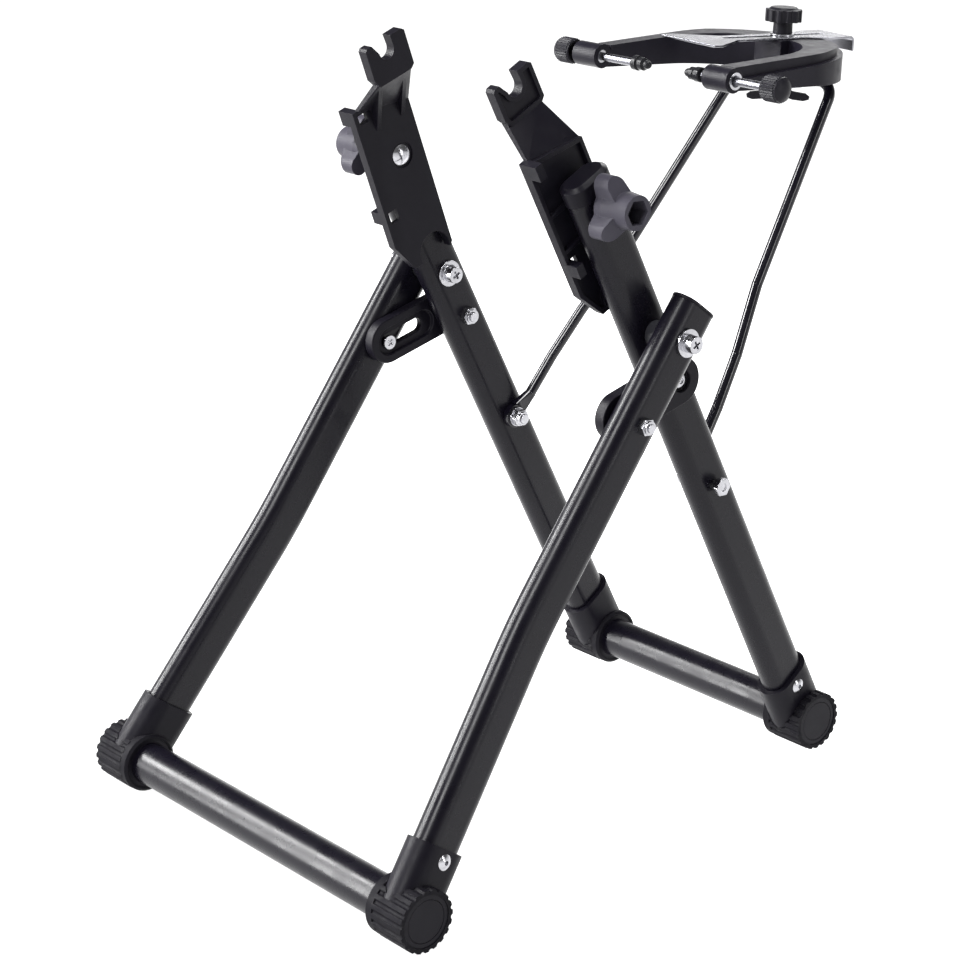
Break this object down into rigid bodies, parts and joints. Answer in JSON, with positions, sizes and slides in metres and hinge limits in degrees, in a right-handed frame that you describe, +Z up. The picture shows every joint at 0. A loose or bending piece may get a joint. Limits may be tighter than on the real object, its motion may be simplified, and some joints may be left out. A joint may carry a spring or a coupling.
{
  "type": "folding wheel truing stand",
  "caption": "Folding tabletop stand that holds a bicycle wheel by its axle for truing, with a caliper and feelers on a swinging wire arm.",
  "frame": {"origin": "centre of the footprint box, on the floor under the boots", "axes": "+Z up, +Y to the back where the caliper is, +X across the stand to its right side"},
  "size_m": [0.297, 0.4828, 0.459],
  "materials": {
    "frame_black": "satin powder coat",
    "moulded_black": "fine moulded texture",
    "boot_rubber": "ribbed rubber",
    "knob_grey": "fine moulded texture",
    "spacer_black": "plain",
    "nut_black": "black oxide",
    "zinc": "bright plating",
    "wire_black": "satin",
    "caliper_black": "satin moulded",
    "pointer_steel": "plated sheet",
    "knob_black": "moulded",
    "tip_black": "smooth",
    "rod_steel": "plated thread"
  },
  "bodies": {
    "rear_frame": {"upright_left": "frame_black", "upright_right": "frame_black", "upright_end_caps": "moulded_black", "rear_cross_tube": "frame_black", "rear_socket_left": "moulded_black", "rear_socket_right": "moulded_black", "rear_boots": "boot_rubber", "rear_end_plugs": "moulded_black", "rear_rivets": "zinc", "pivot_screws": "zinc", "pivot_sleeve_nuts": "zinc", "pivot_spacers": "spacer_black", "link_bolts": "zinc", "link_bolt_nuts": "zinc", "arm_bolts": "zinc", "arm_bolt_nuts": "zinc", "arm_washers": "zinc"},
    "front_frame": {"leg_left": "frame_black", "leg_right": "frame_black", "leg_end_caps": "moulded_black", "front_cross_tube": "frame_black", "front_socket_left": "moulded_black", "front_socket_right": "moulded_black", "front_boots": "boot_rubber", "front_end_plugs": "moulded_black", "front_rivets": "zinc", "slot_pins": "zinc", "slot_pin_nuts": "zinc"},
    "fold_link_left": {"link_left": "moulded_black"},
    "fold_link_right": {"link_right": "moulded_black"},
    "dropout_left": {"bracket_left": "moulded_black"},
    "dropout_right": {"bracket_right": "moulded_black"},
    "clamp_left": {"clamp_bolt_left": "zinc"},
    "clamp_right": {"clamp_bolt_right": "zinc"},
    "knob_left": {"wing_knob_left": "knob_grey", "wing_knob_nut_left": "nut_black"},
    "knob_right": {"wing_knob_right": "knob_grey", "wing_knob_nut_right": "nut_black"},
    "swing_arm": {"wire_arm": "wire_black"},
    "caliper": {"caliper_crown": "caliper_black", "caliper_clip": "zinc", "stem_bolt": "zinc", "feeler_bushes": "zinc"},
    "clip_nut": {"clip_wing_nut": "knob_black"},
    "pointer_pivot": {"pointer_washer": "zinc"},
    "pointer": {"pointer_plate": "pointer_steel"},
    "pointer_knob": {"plate_knob": "knob_black"},
    "feeler_left": {"feeler_tip_left": "tip_black"},
    "feeler_right": {"feeler_tip_right": "tip_black"},
    "feeler_screw_left": {"feeler_rod_left": "rod_steel", "feeler_knob_left": "knob_black"},
    "feeler_screw_right": {"feeler_rod_right": "rod_steel", "feeler_knob_right": "knob_black"}
  },
  "joints": [
    {"name": "fold", "type": "hinge", "parent": "rear_frame", "child": "front_frame", "pos_m": [0, -0.01155, 0.299], "axis": [1, 0, 0], "range_deg": [0, 41]},
    {"name": "fold_link_left_turn", "type": "hinge", "parent": "rear_frame", "child": "fold_link_left", "pos_m": [0, 0.00372, 0.26941], "axis": [1, 0, 0], "range_deg": [0, 48]},
    {"name": "fold_link_right_turn", "type": "hinge", "parent": "rear_frame", "child": "fold_link_right", "pos_m": [0, 0.00372, 0.26941], "axis": [1, 0, 0], "range_deg": [0, 48]},
    {"name": "clamp_left_slide", "type": "slide", "parent": "rear_frame", "child": "clamp_left", "axis": [1, 0, 0], "range_m": [0, 0.0065]},
    {"name": "wing_knob_left_spin", "type": "hinge", "parent": "rear_frame", "child": "knob_left", "pos_m": [0, -0.05329, 0.37986], "axis": [-1, 0, 0], "range_deg": [0, 1873]},
    {"name": "bracket_left_swivel", "type": "hinge", "parent": "clamp_left", "child": "dropout_left", "pos_m": [0, -0.05329, 0.37986], "axis": [-1, 0, 0], "range_deg": [-7.2, 0]},
    {"name": "clamp_right_slide", "type": "slide", "parent": "rear_frame", "child": "clamp_right", "axis": [-1, 0, 0], "range_m": [0, 0.0065]},
    {"name": "wing_knob_right_spin", "type": "hinge", "parent": "rear_frame", "child": "knob_right", "pos_m": [0, -0.05329, 0.37986], "axis": [1, 0, 0], "range_deg": [0, 1873]},
    {"name": "bracket_right_swivel", "type": "hinge", "parent": "clamp_right", "child": "dropout_right", "pos_m": [0, -0.05329, 0.37986], "axis": [-1, 0, 0], "range_deg": [0, 7.2]},
    {"name": "arm_swing", "type": "hinge", "parent": "rear_frame", "child": "swing_arm", "pos_m": [0, 0.04152, 0.19619], "axis": [-1, 0, 0], "range_deg": [-12, 60]},
    {"name": "caliper_tilt", "type": "hinge", "parent": "swing_arm", "child": "caliper", "pos_m": [0, 0.19904, 0.40829], "axis": [-1, 0, 0], "range_deg": [-35, 60]},
    {"name": "clip_nut_spin", "type": "hinge", "parent": "caliper", "child": "clip_nut", "pos_m": [0, 0.19275, 0.40862], "axis": [0, 0.0523, 0.9986], "continuous": true},
    {"name": "pointer_knob_spin", "type": "hinge", "parent": "caliper", "child": "pointer_knob", "pos_m": [0, 0.19275, 0.40862], "axis": [0, 0.0523, 0.9986], "continuous": true},
    {"name": "pointer_swivel", "type": "hinge", "parent": "caliper", "child": "pointer_pivot", "pos_m": [0, 0.19275, 0.40862], "axis": [0, 0.0523, 0.9986], "range_deg": [-8, 24]},
    {"name": "pointer_slide", "type": "slide", "parent": "pointer_pivot", "child": "pointer", "axis": [0.1478, 0.9877, -0.0518], "range_m": [-0.008, 0.0435]},
    {"name": "feeler_left_slide", "type": "slide", "parent": "caliper", "child": "feeler_left", "axis": [-1, 0, 0], "range_m": [-0.002, 0.025]},
    {"name": "feeler_left_spin", "type": "hinge", "parent": "feeler_left", "child": "feeler_screw_left", "pos_m": [0, 0.08278, 0.42735], "axis": [-1, 0, 0], "range_deg": [-902, 11252]},
    {"name": "feeler_right_slide", "type": "slide", "parent": "caliper", "child": "feeler_right", "axis": [1, 0, 0], "range_m": [-0.022, 0.005]},
    {"name": "feeler_right_spin", "type": "hinge", "parent": "feeler_right", "child": "feeler_screw_right", "pos_m": [0, 0.08278, 0.42735], "axis": [1, 0, 0], "range_deg": [-9902, 2252]}
  ],
  "couplings": [
    {"joint": "fold_link_left_turn", "follows": "fold", "ratio": 1.131},
    {"joint": "fold_link_right_turn", "follows": "fold", "ratio": 1.131},
    {"joint": "wing_knob_left_spin", "follows": "clamp_left_slide", "rad_per_m": 5026.5},
    {"joint": "wing_knob_right_spin", "follows": "clamp_right_slide", "rad_per_m": 5026.5},
    {"joint": "feeler_left_spin", "follows": "feeler_left_slide", "rad_per_m": 7854},
    {"joint": "feeler_right_spin", "follows": "feeler_right_slide", "rad_per_m": 7854}
  ]
}
